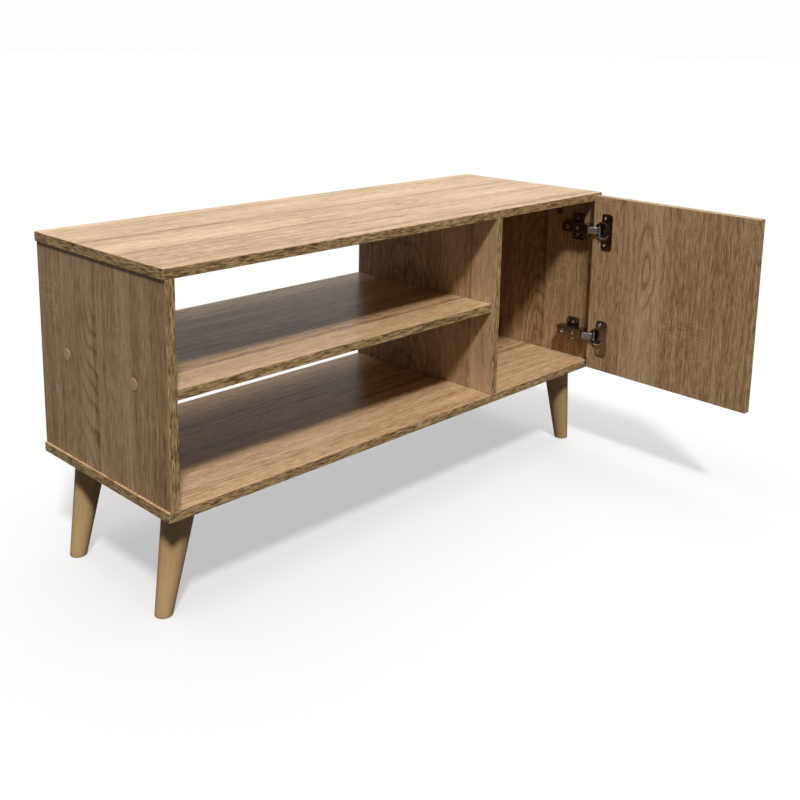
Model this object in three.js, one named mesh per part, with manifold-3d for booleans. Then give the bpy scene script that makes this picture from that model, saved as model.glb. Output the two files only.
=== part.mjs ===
// Low media cabinet on four splayed legs: two open bays, one door on two concealed hinges.
// Millimetres, +Z up, front towards -Y. Everything is laid out in cabinet coordinates first:
// x from the left end of the top, y from the front edge of the boards, z from the floor.

import * as THREE from 'three';
import { mergeVertices } from 'three/addons/utils/BufferGeometryUtils.js';
import Module from 'manifold-3d';

const wasm = await Module();
wasm.setup();

// ---- driving dimensions ----------------------------------------------------------------------

const LENGTH = 1000;
const DEPTH = 340;
const BOARD = 15;
const LEG_HEIGHT = 162;
const CARCASS_HEIGHT = 348;
const ARRIS = 0.75;              // small bevel on every board edge
const END_OVERHANG = 3;          // top and bottom run past the side panels by this much
const DIVIDER_X = 677.5;         // left face of the divider
const SHELF_TOP = 343;
const SHELF_SETBACK = 6;
const BACK_THICKNESS = 3;
const BACK_INSET = 2;
const FRONT_Y = -1;              // puts the open cabinet's box in the middle of the frame

const DOOR_WIDTH = 337;
const DOOR_GAP = 2;              // between the carcass front and the closed door
const DOOR_REVEAL = 3;           // carcass left showing above and below the door
const DOOR_EDGE_X = 998;         // hinge edge of the closed door
const DOOR_OPEN = 87;            // degrees, the door as it stands here

const HINGE_Z = [230, 440];
const CUP_SETBACK = 22.5;        // cup centre from the door's hinge edge
const CUP_RADIUS = 17.5;
const CUP_DEPTH = 11.5;
const CUP_CAVITY_RADIUS = 16.2;
const CUP_FLOOR = 1;
const ARM_PIVOT = [967, 5.25];   // fixed pin, in plan
const CUP_PIVOT = [986, -6];     // pin in the cup, in plan, with the door closed
const LINK_RATIO = -0.489;       // degrees the link turns for each degree of the door
const PIN_RADIUS = 1.5;
const GAP = 0.3;                 // clearance round everything that is fitted or turned

const FASTENER_Y = [82, 262];    // rows of cabinet fittings, from the front edge
const CAM_DROP = 30;             // cam centre below the top board
const CAM_RADIUS = 7.5;
const CAM_DEPTH = 12.5;

const LEG_INSET_X = 51.5;        // leg axis where it meets the cabinet's underside
const LEG_INSET_Y = 52;
const LEG_TILT = 11;             // degrees, outwards along the length
const LEG_TOP_RADIUS = 24.4;
const LEG_FOOT_RADIUS = 12.9;

// ---- worked-out positions --------------------------------------------------------------------

const rad = THREE.MathUtils.degToRad;
const CARCASS_BOTTOM = LEG_HEIGHT;
const CARCASS_TOP = LEG_HEIGHT + CARCASS_HEIGHT;
const FLOOR_Z = CARCASS_BOTTOM + BOARD;
const CEILING_Z = CARCASS_TOP - BOARD;
const INNER_HEIGHT = CEILING_Z - FLOOR_Z;
const LEFT_INNER_X = END_OVERHANG + BOARD;
const RIGHT_INNER_X = LENGTH - END_OVERHANG - BOARD;
const SHELF_MID_Z = SHELF_TOP - BOARD / 2;

// ---- finishes --------------------------------------------------------------------------------

function finish(color, roughness, metalness) {
  return new THREE.MeshStandardMaterial({ color, roughness, metalness });
}

const oak = finish(0xb98f63, 0.5, 0);
const hardboard = finish(0xa07a52, 0.8, 0);
const legWood = finish(0xa87f55, 0.45, 0);
const darkNickel = finish(0x3a3835, 0.35, 0.9);
const brightSteel = finish(0xb8b6b0, 0.3, 1);
const zinc = finish(0x9d9c98, 0.4, 1);
const capPlastic = finish(0xc9a67c, 0.55, 0);
const plateSteel = finish(0x2c2c2e, 0.5, 0.8);

// ---- solids ----------------------------------------------------------------------------------

function toSolid(geometry) {
  const bare = geometry.clone();
  bare.deleteAttribute('normal');
  bare.deleteAttribute('uv');
  const merged = mergeVertices(bare, 1e-4);
  const vertProperties = new Float32Array(merged.attributes.position.array);
  const triVerts = new Uint32Array(merged.index.array);
  return new wasm.Manifold(new wasm.Mesh({ numProp: 3, vertProperties, triVerts }));
}

function fromSolid(solid) {
  const mesh = solid.getMesh();
  const geometry = new THREE.BufferGeometry();
  geometry.setAttribute('position', new THREE.BufferAttribute(new Float32Array(mesh.vertProperties), 3));
  geometry.setIndex(new THREE.BufferAttribute(new Uint32Array(mesh.triVerts), 1));
  geometry.computeVertexNormals();
  return geometry;
}

function cut(body, cutters) {
  return fromSolid(cutters.reduce((solid, cutter) => solid.subtract(toSolid(cutter)), toSolid(body)));
}

function join(pieces) {
  return pieces.slice(1).reduce((solid, piece) => solid.add(toSolid(piece)), toSolid(pieces[0]));
}

// A box with its low corner at the origin and every edge bevelled.
function bevelledBox([lengthX, lengthY, lengthZ], bevel) {
  const shape = new THREE.Shape();
  shape.moveTo(bevel, 0);
  shape.lineTo(lengthX - bevel, 0);
  shape.lineTo(lengthX, bevel);
  shape.lineTo(lengthX, lengthY - bevel);
  shape.lineTo(lengthX - bevel, lengthY);
  shape.lineTo(bevel, lengthY);
  shape.lineTo(0, lengthY - bevel);
  shape.lineTo(0, bevel);
  const geometry = new THREE.ExtrudeGeometry(shape, {
    depth: lengthZ - 2 * bevel,
    bevelThickness: bevel,
    bevelSize: bevel,
    bevelOffset: -bevel,
    bevelSegments: 1,
  });
  return geometry.translate(0, 0, bevel);
}

// A plain box between two corners.
function boxBetween(low, high) {
  const size = high.map((value, i) => value - low[i]);
  const middle = high.map((value, i) => (value + low[i]) / 2);
  return new THREE.BoxGeometry(...size).translate(...middle);
}

// Cylinders along each axis, given by their ends and centre line.
function cylinderX(radius, x0, x1, y, z, sides = 14) {
  return new THREE.CylinderGeometry(radius, radius, x1 - x0, sides)
    .rotateZ(Math.PI / 2)
    .translate((x0 + x1) / 2, y, z);
}

function cylinderY(radius, y0, y1, x, z, sides = 14) {
  return new THREE.CylinderGeometry(radius, radius, y1 - y0, sides).translate(x, (y0 + y1) / 2, z);
}

function cylinderZ(radius, z0, z1, x, y, sides = 14) {
  return new THREE.CylinderGeometry(radius, radius, z1 - z0, sides)
    .rotateX(Math.PI / 2)
    .translate(x, y, (z0 + z1) / 2);
}

// A flat outline given a thickness along +Z, with the given number of steps on each arc.
function extruded(outline, depth, curveSegments) {
  return new THREE.ExtrudeGeometry(outline, { depth, bevelEnabled: false, curveSegments });
}

// A turned piece about +Z, from [radius, height] pairs that start and end on the axis, bottom first.
function turned(profile, sides) {
  const points = profile.map(([radius, height]) => new THREE.Vector2(radius, height));
  return new THREE.LatheGeometry(points, sides).rotateX(Math.PI / 2);
}

// A cross recess at the head of a screw or cam that points along -Z from z = 0.
function crossRecess(span, width, depth) {
  return [
    boxBetween([-span / 2, -width / 2, -depth], [span / 2, width / 2, depth]),
    boxBetween([-width / 2, -span / 2, -depth], [width / 2, span / 2, depth]),
  ];
}

// A screw with its head's top at z = 0 and its shank down -Z.
function screw(headRadius, headHeight, shankRadius, length, sides = 12) {
  const profile = [
    [0, -length],
    [shankRadius * 0.6, -length],
    [shankRadius, -length + 1.5],
    [shankRadius, -headHeight],
    [headRadius, -headHeight * 0.35],
    [headRadius * 0.92, 0],
    [0, 0],
  ];
  return cut(turned(profile, sides), crossRecess(headRadius * 1.1, headRadius * 0.28, headHeight * 0.5));
}

// ---- the assembly ----------------------------------------------------------------------------

const stand = new THREE.Group();
const cabinet = new THREE.Group();
cabinet.position.set(-LENGTH / 2, FRONT_Y, 0);
stand.add(cabinet);

function addMesh(parent, name, geometry, material, position = [0, 0, 0]) {
  const mesh = new THREE.Mesh(geometry, material);
  mesh.name = name;
  mesh.position.set(...position);
  parent.add(mesh);
  return mesh;
}

// A board from its low corner and size, drilled by cutters given in cabinet coordinates.
function addBoard(name, corner, size, cutters = [], material = oak, bevel = ARRIS) {
  const blank = bevelledBox(size, bevel);
  const holes = cutters.map((cutter) => cutter.translate(-corner[0], -corner[1], -corner[2]));
  addMesh(cabinet, name, holes.length ? cut(blank, holes) : blank, material, corner);
}

// ---- top, bottom and uprights ----------------------------------------------------------------

const SCREW_LENGTH = 50;         // shelf screws, through an upright into the shelf's end
const SCREW_HEAD = [5, 4];       // radius, height
const SCREW_SHANK = 3.5;
const CAP_RADIUS = 9;
const CAP_THICKNESS = 0.75;
const PLATE_SCREW_Y = 37;        // hinge plate screws from the front edge
const PLATE_SCREW_SPREAD = 16;   // above and below the hinge's middle
const PLATE_SCREW = [3.3, 2.2, 1.8, 14];   // head radius and height, shank radius, length

// Hole for a shelf screw entering at faceX and running along direction (+1 or -1).
function shelfScrewHole(faceX, direction, y) {
  const along = (a, b) => [Math.min(faceX + a * direction, faceX + b * direction),
    Math.max(faceX + a * direction, faceX + b * direction)];
  return [
    cylinderX(SCREW_HEAD[0] + GAP, ...along(-1, SCREW_HEAD[1] + 2 * GAP), y, SHELF_MID_Z),
    cylinderX(SCREW_SHANK + GAP, ...along(-1, SCREW_LENGTH + 1), y, SHELF_MID_Z),
  ];
}

// Blind hole for a cam that shows on the face at faceX; depth runs along direction.
function camHole(faceX, direction, y) {
  const ends = [faceX - direction, faceX + direction * (CAM_DEPTH + GAP)].sort((a, b) => a - b);
  return cylinderX(CAM_RADIUS + GAP, ...ends, y, CEILING_Z - CAM_DROP, 16);
}

const leftScrews = FASTENER_Y.flatMap((y) => shelfScrewHole(END_OVERHANG, 1, y));
const rightScrews = FASTENER_Y.flatMap((y) => shelfScrewHole(DIVIDER_X + BOARD, -1, y));
const plateScrewHoles = HINGE_Z.flatMap((z) => [-1, 1].map((side) => cylinderX(
  PLATE_SCREW[2] + GAP, RIGHT_INNER_X - 1, RIGHT_INNER_X + PLATE_SCREW[3] - 2,
  PLATE_SCREW_Y, z + side * PLATE_SCREW_SPREAD)));

addBoard('top_panel', [0, 0, CEILING_Z], [LENGTH, DEPTH, BOARD]);
addBoard('bottom_panel', [0, 0, CARCASS_BOTTOM], [LENGTH, DEPTH, BOARD]);

addBoard('left_side_panel', [END_OVERHANG, 0, FLOOR_Z], [BOARD, DEPTH, INNER_HEIGHT], [
  ...leftScrews.map((hole) => hole.clone()),
  ...FASTENER_Y.map((y) => camHole(LEFT_INNER_X, -1, y)),
]);

addBoard('right_side_panel', [RIGHT_INNER_X, 0, FLOOR_Z], [BOARD, DEPTH, INNER_HEIGHT], [
  ...plateScrewHoles,
  ...FASTENER_Y.map((y) => camHole(RIGHT_INNER_X, 1, y)),
]);

addBoard('divider_panel', [DIVIDER_X, 0, FLOOR_Z], [BOARD, DEPTH, INNER_HEIGHT], [
  ...rightScrews.map((hole) => hole.clone()),
  ...FASTENER_Y.map((y) => camHole(DIVIDER_X + BOARD, -1, y)),
]);

addBoard('shelf', [LEFT_INNER_X, SHELF_SETBACK, SHELF_TOP - BOARD],
  [DIVIDER_X - LEFT_INNER_X, DEPTH - SHELF_SETBACK, BOARD],
  [...leftScrews, ...rightScrews]);

addBoard('back_panel', [DIVIDER_X + BACK_INSET, DEPTH, CARCASS_BOTTOM + BACK_INSET],
  [LENGTH - END_OVERHANG - 2 * BACK_INSET - DIVIDER_X, BACK_THICKNESS, CARCASS_HEIGHT - 2 * BACK_INSET],
  [], hardboard, BACK_THICKNESS / 8);

// ---- cabinet fittings ------------------------------------------------------------------------

const camGeometry = cut(
  new THREE.CylinderGeometry(CAM_RADIUS, CAM_RADIUS, CAM_DEPTH, 16)
    .rotateX(Math.PI / 2)
    .translate(0, 0, -CAM_DEPTH / 2),
  crossRecess(7, 2, 2),
);
const shelfScrew = screw(SCREW_HEAD[0], SCREW_HEAD[1], SCREW_SHANK, SCREW_LENGTH - GAP);
const capGeometry = turned([
  [0, 0],
  [CAP_RADIUS, 0],
  [CAP_RADIUS, CAP_THICKNESS * 0.4],
  [CAP_RADIUS - 0.8, CAP_THICKNESS],
  [0, CAP_THICKNESS],
], 20);

// Turns a piece whose face looks along +Z so that the face looks along +X or -X.
function facingX(geometry, direction) {
  return geometry.clone().rotateY((direction * Math.PI) / 2);
}

const camPlaces = [
  ['left', LEFT_INNER_X, 1],
  ['divider', DIVIDER_X + BOARD, 1],
  ['right', RIGHT_INNER_X, -1],
];
const screwPlaces = [
  ['left', END_OVERHANG, -1],
  ['right', DIVIDER_X + BOARD, 1],
];

FASTENER_Y.forEach((y, i) => {
  const row = ['front', 'rear'][i];
  for (const [side, faceX, direction] of camPlaces) {
    const x = faceX - direction * (GAP / 2);
    addMesh(cabinet, `${side}_${row}_cam`, facingX(camGeometry, direction), zinc,
      [x, y, CEILING_Z - CAM_DROP]);
  }
  for (const [side, faceX, direction] of screwPlaces) {
    addMesh(cabinet, `shelf_${side}_${row}_screw`, facingX(shelfScrew, direction), zinc,
      [faceX - direction * GAP, y, SHELF_MID_Z]);
    addMesh(cabinet, `shelf_${side}_${row}_cap`, facingX(capGeometry, direction), capPlastic,
      [faceX, y, SHELF_MID_Z]);
  }
});

// ---- legs ------------------------------------------------------------------------------------

const PLATE_SIZE = 76;
const PLATE_THICKNESS = 2.5;
const BOSS_RADIUS = 21;
const LEG_START = 7.75;          // along the leg's axis, from the cabinet's underside
const BOLT_RADIUS = 4;
const BOLT_END = 42;
const LEG_LENGTH = LEG_HEIGHT / Math.cos(rad(LEG_TILT));
const FOOT_SHIFT = LEG_HEIGHT * Math.tan(rad(LEG_TILT));

// Leg pieces share a local frame: origin on the cabinet's underside, outwards is -X.
function tilt(geometry) {
  return geometry.rotateY(rad(LEG_TILT));
}

// Taper from top to foot, sawn level at the floor with its lower rim eased.
function legGeometry() {
  const radiusAt = (s) => LEG_TOP_RADIUS + ((LEG_FOOT_RADIUS - LEG_TOP_RADIUS) * s) / LEG_LENGTH;
  const past = LEG_LENGTH + 8;
  const taper = tilt(turned([
    [0, -past],
    [radiusAt(past), -past],
    [radiusAt(LEG_START + 1.2), -LEG_START - 1.2],
    [radiusAt(LEG_START) - 1.2, -LEG_START],
    [0, -LEG_START],
  ], 24));
  const rim = LEG_FOOT_RADIUS;
  const envelope = turned([
    [0, 0],
    [rim - 2, 0],
    [rim + 0.3, 2.3],
    [rim + 50, 2 * LEG_HEIGHT],
    [0, 2 * LEG_HEIGHT],
  ], 24).translate(-FOOT_SHIFT, 0, -LEG_HEIGHT);
  const boltHole = tilt(cylinderZ(BOLT_RADIUS + GAP, -BOLT_END - 1, 0, 0, 0));
  return fromSolid(toSolid(taper).intersect(toSolid(envelope)).subtract(toSolid(boltHole)));
}

// Steel plate under the cabinet with a wedge boss square to the leg's axis.
function legPlateGeometry() {
  const plate = bevelledBox([PLATE_SIZE, PLATE_SIZE, PLATE_THICKNESS], 0.5)
    .translate(-PLATE_SIZE / 2, -PLATE_SIZE / 2, -PLATE_THICKNESS);
  const boss = tilt(cylinderZ(BOSS_RADIUS, -LEG_START + GAP, 8, 0, 0, 20));
  const above = boxBetween([-60, -60, 0], [60, 60, 40]);
  const boltHole = tilt(cylinderZ(BOLT_RADIUS + GAP, -20, 20, 0, 0));
  const blank = join([plate, boss]);
  return fromSolid(blank.subtract(toSolid(above)).subtract(toSolid(boltHole)));
}

const legShape = legGeometry();
const legPlateShape = legPlateGeometry();
const legBoltShape = tilt(turned([
  [0, -BOLT_END],
  [BOLT_RADIUS - 1.5, -BOLT_END],
  [BOLT_RADIUS, -BOLT_END + 3],
  [BOLT_RADIUS, -1.5],
  [0, -1.5],
], 12));

for (const [end, x, turn] of [['left', LEG_INSET_X, 0], ['right', LENGTH - LEG_INSET_X, Math.PI]]) {
  for (const [row, y] of [['front', LEG_INSET_Y], ['rear', DEPTH - LEG_INSET_Y]]) {
    const corner = new THREE.Group();
    corner.position.set(x, y, CARCASS_BOTTOM);
    corner.rotation.z = turn;
    cabinet.add(corner);
    addMesh(corner, `${end}_${row}_leg`, legShape, legWood);
    addMesh(corner, `${end}_${row}_leg_plate`, legPlateShape, plateSteel);
    addMesh(corner, `${end}_${row}_leg_bolt`, legBoltShape, zinc);
  }
}

// ---- concealed hinges ------------------------------------------------------------------------
// Each hinge is drawn in plan at z = 0 with the door closed, then lifted to its height. The
// link's group and the door's group are turned to the open position about their own pins.

const CUP_X = DOOR_EDGE_X - CUP_SETBACK;
const DOOR_FACE_Y = -DOOR_GAP;                 // inner face of the closed door
const SEAT_Y = DOOR_FACE_Y + GAP;              // underside of the cup's flange
const FLANGE_THICKNESS = 1.2;
const CUP_SCREW_SPREAD = 26;
const CUP_SCREW_OFFSET = 5.5;
const CUP_SCREW = [3.5, 2.4, 1.5, 11];              // head radius and height, shank radius, length
const CUP_SCREW_SINK = 3.9;                         // hole round a cup screw's head
const CUP_PIN_HALF = 10.2;
const FLANGE_INNER = 22;                            // from the cup's centre, away from the hinge edge
const FLANGE_OUTER = 1.5;
const FLANGE_REACH = 35;
const FLANGE_CORNER = 5;
const ARM_OUTER_X = 962;
const ARM_WALL = 1.5;
const ARM_HALF_WIDTH = 9.5;
const ARM_FRONT_Y = 1.5;
const ARM_BACK_Y = 62;
const ARM_WEB_START_Y = 8;
const BASE_THICKNESS = 2;
const ARM_SCREW_Y = 50;
const ARM_SCREW = [4.5, 2.4, 2.5, 12];
const ARM_SLOT = [20, 32, 2];                       // start, end and half width of the slot in the web
const LINK_HALF_HEIGHT = 5.5;
const LINK_HALF_WIDTH = 1.6;
const LINK_EYE_RADIUS = 3;
const LINK_BENDS = [[964.1, -1.2], [979.8, -9.6]];   // gooseneck that clears both boards' corners

// U-shaped arm, open towards the side panel, with the web cut back where the link swings.
function armGeometry() {
  const base = RIGHT_INNER_X - BASE_THICKNESS - GAP;
  const shell = bevelledBox([base - ARM_OUTER_X, ARM_BACK_Y - ARM_FRONT_Y, 2 * ARM_HALF_WIDTH], 0.5)
    .translate(ARM_OUTER_X, ARM_FRONT_Y, -ARM_HALF_WIDTH);
  const inside = ARM_HALF_WIDTH - ARM_WALL;
  return cut(shell, [
    boxBetween([ARM_OUTER_X + ARM_WALL, 0, -inside], [base + 1, ARM_BACK_Y + 1, inside]),
    boxBetween([ARM_OUTER_X - 1, 0, -inside], [base, ARM_WEB_START_Y, inside]),
    cylinderZ(PIN_RADIUS + GAP, -20, 20, ...ARM_PIVOT),
    cylinderX(ARM_SCREW[2] + GAP, ARM_OUTER_X - 1, ARM_OUTER_X + 3, ARM_SCREW_Y, 0),
    boxBetween([ARM_OUTER_X - 1, ARM_SLOT[0], -ARM_SLOT[2]], [ARM_OUTER_X + 2, ARM_SLOT[1], ARM_SLOT[2]]),
  ]);
}

// Mounting plate: two screw wings and a rib that the arm slides over.
function basePlateGeometry() {
  const x0 = RIGHT_INNER_X - BASE_THICKNESS;
  const wing = new THREE.Shape();
  wing.absarc(PLATE_SCREW_Y, PLATE_SCREW_SPREAD + 2, 8.5, 0, Math.PI, false);
  wing.absarc(PLATE_SCREW_Y, -PLATE_SCREW_SPREAD - 2, 8.5, Math.PI, 2 * Math.PI, false);
  const alongX = new THREE.Matrix4().makeBasis(
    new THREE.Vector3(0, 1, 0), new THREE.Vector3(0, 0, 1), new THREE.Vector3(1, 0, 0));
  const wings = extruded(wing, BASE_THICKNESS, 5)
    .applyMatrix4(alongX)
    .translate(x0, 0, 0);
  const strip = boxBetween([x0, 13, -8], [RIGHT_INNER_X, 66, 8]);
  const rib = boxBetween([ARM_OUTER_X + 4, 14, -6.5], [x0 + 1, 60, 6.5]);
  const holes = [-1, 1].map((side) => cylinderX(
    PLATE_SCREW[2] + GAP, x0 - 1, RIGHT_INNER_X + 1, PLATE_SCREW_Y, side * PLATE_SCREW_SPREAD));
  const screwHole = cylinderX(ARM_SCREW[2] + GAP, ARM_OUTER_X, ARM_OUTER_X + 14, ARM_SCREW_Y, 0);
  return fromSolid([...holes, screwHole].reduce(
    (solid, hole) => solid.subtract(toSolid(hole)), join([wings, strip, rib])));
}

// Flat bar between two plan points, with round ends.
function linkBar([x0, y0], [x1, y1]) {
  const length = Math.hypot(x1 - x0, y1 - y0);
  const outline = new THREE.Shape();
  outline.absarc(length, 0, LINK_HALF_WIDTH, -Math.PI / 2, Math.PI / 2, false);
  outline.absarc(0, 0, LINK_HALF_WIDTH, Math.PI / 2, (3 * Math.PI) / 2, false);
  return extruded(outline, 2 * LINK_HALF_HEIGHT, 3)
    .translate(0, 0, -LINK_HALF_HEIGHT)
    .rotateZ(Math.atan2(y1 - y0, x1 - x0))
    .translate(x0, y0, 0);
}

function linkGeometry() {
  const path = [ARM_PIVOT, ...LINK_BENDS, CUP_PIVOT];
  const bars = path.slice(1).map((point, i) => linkBar(path[i], point));
  const eyes = [ARM_PIVOT, CUP_PIVOT].map((pivot) => cylinderZ(
    LINK_EYE_RADIUS, -LINK_HALF_HEIGHT, LINK_HALF_HEIGHT, ...pivot, 16));
  const bores = [ARM_PIVOT, CUP_PIVOT].map((pivot) => cylinderZ(PIN_RADIUS + GAP, -20, 20, ...pivot));
  return fromSolid(bores.reduce((solid, bore) => solid.subtract(toSolid(bore)), join([...bars, ...eyes])));
}

// Pressed cup with its screw flange. The rim is cut down on the hinge side for the link.
function cupGeometry() {
  const floorY = DOOR_FACE_Y - CUP_DEPTH;
  const rimY = SEAT_Y + FLANGE_THICKNESS;
  const shell = cylinderY(CUP_RADIUS, floorY, rimY, CUP_X, 0, 28);
  const flange = new THREE.Shape();
  const [inner, outer] = [CUP_X - FLANGE_INNER, CUP_X + FLANGE_OUTER];
  const [reach, corner] = [FLANGE_REACH, FLANGE_CORNER];
  flange.absarc(outer - corner, reach - corner, corner, 0, Math.PI / 2, false);
  flange.absarc(inner + corner, reach - corner, corner, Math.PI / 2, Math.PI, false);
  flange.absarc(inner + corner, -reach + corner, corner, Math.PI, 1.5 * Math.PI, false);
  flange.absarc(outer - corner, -reach + corner, corner, 1.5 * Math.PI, 2 * Math.PI, false);
  const wings = extruded(flange, FLANGE_THICKNESS, 3)
    .rotateX(Math.PI / 2)
    .translate(0, rimY, 0);
  const cutters = [
    cylinderY(CUP_CAVITY_RADIUS, floorY + CUP_FLOOR, rimY + 1, CUP_X, 0, 28),
    boxBetween([outer, SEAT_Y, -8], [outer + 30, rimY + 1, 8]),
    ...[-1, 1].map((side) => cylinderY(
      CUP_SCREW_SINK, SEAT_Y - 1, rimY + 1, CUP_X - CUP_SCREW_OFFSET, side * CUP_SCREW_SPREAD)),
  ];
  return fromSolid(cutters.reduce((solid, cutter) => solid.subtract(toSolid(cutter)), join([shell, wings])));
}

const armShape = armGeometry();
const basePlateShape = basePlateGeometry();
const linkShape = linkGeometry();
const cupShape = cupGeometry();
const plateScrewShape = screw(...PLATE_SCREW);
const armScrewShape = screw(...ARM_SCREW);
const cupScrewShape = screw(...CUP_SCREW);
const pinShape = (halfLength) => new THREE.CylinderGeometry(PIN_RADIUS, PIN_RADIUS, 2 * halfLength, 12)
  .rotateX(Math.PI / 2);

// Groups whose children stay in cabinet coordinates, turned about a pin at `from` that has moved to `to`.
function turnedGroup(from, to, degrees) {
  const group = new THREE.Group();
  group.position.set(to[0], to[1], 0);
  group.rotation.z = rad(degrees);
  const inner = new THREE.Group();
  inner.position.set(-from[0], -from[1], 0);
  group.add(inner);
  cabinet.add(group);
  return inner;
}

const linkTurn = LINK_RATIO * DOOR_OPEN;
const openCupPivot = new THREE.Vector2(...CUP_PIVOT)
  .rotateAround(new THREE.Vector2(...ARM_PIVOT), rad(linkTurn));
const links = turnedGroup(ARM_PIVOT, ARM_PIVOT, linkTurn);
const doorLeaf = turnedGroup(CUP_PIVOT, openCupPivot.toArray(), DOOR_OPEN);

HINGE_Z.forEach((z, i) => {
  const label = ['lower', 'upper'][i];
  addMesh(cabinet, `${label}_hinge_arm`, armShape, darkNickel, [0, 0, z]);
  addMesh(cabinet, `${label}_hinge_plate`, basePlateShape, darkNickel, [0, 0, z]);
  addMesh(cabinet, `${label}_hinge_arm_pin`, pinShape(ARM_HALF_WIDTH - GAP), brightSteel,
    [...ARM_PIVOT, z]);
  addMesh(cabinet, `${label}_hinge_arm_screw`, facingX(armScrewShape, -1), brightSteel,
    [ARM_OUTER_X - ARM_SCREW[1] - GAP, ARM_SCREW_Y, z]);
  for (const [row, side] of [['bottom', -1], ['top', 1]]) {
    addMesh(cabinet, `${label}_hinge_plate_${row}_screw`, facingX(plateScrewShape, -1), brightSteel,
      [RIGHT_INNER_X - BASE_THICKNESS - PLATE_SCREW[1] - GAP, PLATE_SCREW_Y, z + side * PLATE_SCREW_SPREAD]);
    addMesh(doorLeaf, `${label}_hinge_cup_${row}_screw`, cupScrewShape.clone().rotateX(-Math.PI / 2),
      brightSteel, [CUP_X - CUP_SCREW_OFFSET, SEAT_Y + FLANGE_THICKNESS, z + side * CUP_SCREW_SPREAD]);
  }
  addMesh(links, `${label}_hinge_link`, linkShape, brightSteel, [0, 0, z]);
  addMesh(doorLeaf, `${label}_hinge_cup`, cupShape, darkNickel, [0, 0, z]);
  addMesh(doorLeaf, `${label}_hinge_cup_pin`, pinShape(CUP_PIN_HALF), brightSteel, [...CUP_PIVOT, z]);
});

// ---- door ------------------------------------------------------------------------------------

const doorCorner = [DOOR_EDGE_X - DOOR_WIDTH, DOOR_FACE_Y - BOARD, CARCASS_BOTTOM + DOOR_REVEAL];
const doorSize = [DOOR_WIDTH, BOARD, CARCASS_HEIGHT - 2 * DOOR_REVEAL];
const doorHoles = HINGE_Z.flatMap((z) => [
  cylinderY(CUP_RADIUS + GAP, DOOR_FACE_Y - CUP_DEPTH - GAP, DOOR_FACE_Y + 1, CUP_X, z, 28),
  ...[-1, 1].flatMap((side) => [
    cylinderY(CUP_SCREW_SINK, DOOR_FACE_Y - 1.6, DOOR_FACE_Y + 1,
      CUP_X - CUP_SCREW_OFFSET, z + side * CUP_SCREW_SPREAD),
    cylinderY(CUP_SCREW[2] + GAP, DOOR_FACE_Y - CUP_SCREW[3], DOOR_FACE_Y + 1,
      CUP_X - CUP_SCREW_OFFSET, z + side * CUP_SCREW_SPREAD),
  ]),
]);
const doorBlank = bevelledBox(doorSize, ARRIS).translate(...doorCorner);
addMesh(doorLeaf, 'door', cut(doorBlank, doorHoles), oak);

export default stand;
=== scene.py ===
import math
from collections import namedtuple
from functools import reduce

import bpy
import numpy as np
from bpy.props import FloatProperty, FloatVectorProperty, PointerProperty
from mathutils import Matrix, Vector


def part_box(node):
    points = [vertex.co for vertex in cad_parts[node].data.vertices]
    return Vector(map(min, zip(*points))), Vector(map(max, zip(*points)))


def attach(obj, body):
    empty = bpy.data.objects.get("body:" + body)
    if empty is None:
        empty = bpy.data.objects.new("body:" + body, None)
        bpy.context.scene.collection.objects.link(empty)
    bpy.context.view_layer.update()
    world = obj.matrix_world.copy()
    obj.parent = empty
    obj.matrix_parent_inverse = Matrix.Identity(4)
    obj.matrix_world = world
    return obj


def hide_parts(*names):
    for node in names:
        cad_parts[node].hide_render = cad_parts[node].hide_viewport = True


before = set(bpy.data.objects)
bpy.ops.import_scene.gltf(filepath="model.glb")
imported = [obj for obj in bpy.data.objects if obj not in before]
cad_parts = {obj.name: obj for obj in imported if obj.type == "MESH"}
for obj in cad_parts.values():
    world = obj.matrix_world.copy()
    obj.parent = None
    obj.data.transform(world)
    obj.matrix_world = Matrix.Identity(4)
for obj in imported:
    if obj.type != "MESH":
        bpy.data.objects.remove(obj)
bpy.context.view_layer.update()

bl_info = {
    "name": "Television stand with one door",
    "version": (1, 0, 0),
    "blender": (4, 5, 0),
    "location": "3D View > Sidebar > Stand",
    "description": "Finishes and fine pieces for a low oak-print television stand on splayed legs",
    "category": "Object",
}

DOOR_ANGLE = math.radians(87.0)      # how far the door stands open in the frame
LEG_TILT = math.radians(11.0)        # lean of each leg, outwards along the length
DOOR_ALONG = (math.cos(DOOR_ANGLE), math.sin(DOOR_ANGLE), 0.0)    # across the door, to its hinge edge
DOOR_INWARD = (-math.sin(DOOR_ANGLE), math.cos(DOOR_ANGLE), 0.0)  # out of the door's inner face
LEGS = [f"{end}_{row}" for end in ("left", "right") for row in ("front", "rear")]
HINGES = ("lower", "upper")
CUP_RADIUS, CUP_SHEET = 0.0175, 0.0012
LINK_BENDS = ((0.00079, -0.00703), (0.01858, -0.00626))  # from the arm pin: towards the cup pin, to its left

KEY_SIDE = (-0.44, -0.62, 1.0)       # towards the key light
WALL_SIDE = (0.64, 0.77)             # towards the bright wall, in plan
CAMERA_PLACE = (-1.20929, -1.08264, 0.80407)
CAMERA_TURN = (-44.897, -11.303, 0.723)  # yaw, pitch and roll in degrees
CAMERA_SHIFT = (0.0375, -0.2)

STRIP = 0.096                        # width of the strips in the wood print
LENGTHWISE, DEPTHWISE, UPRIGHT = (1, 0, 0), (0, 1, 0), (0, 0, 1)

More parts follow.
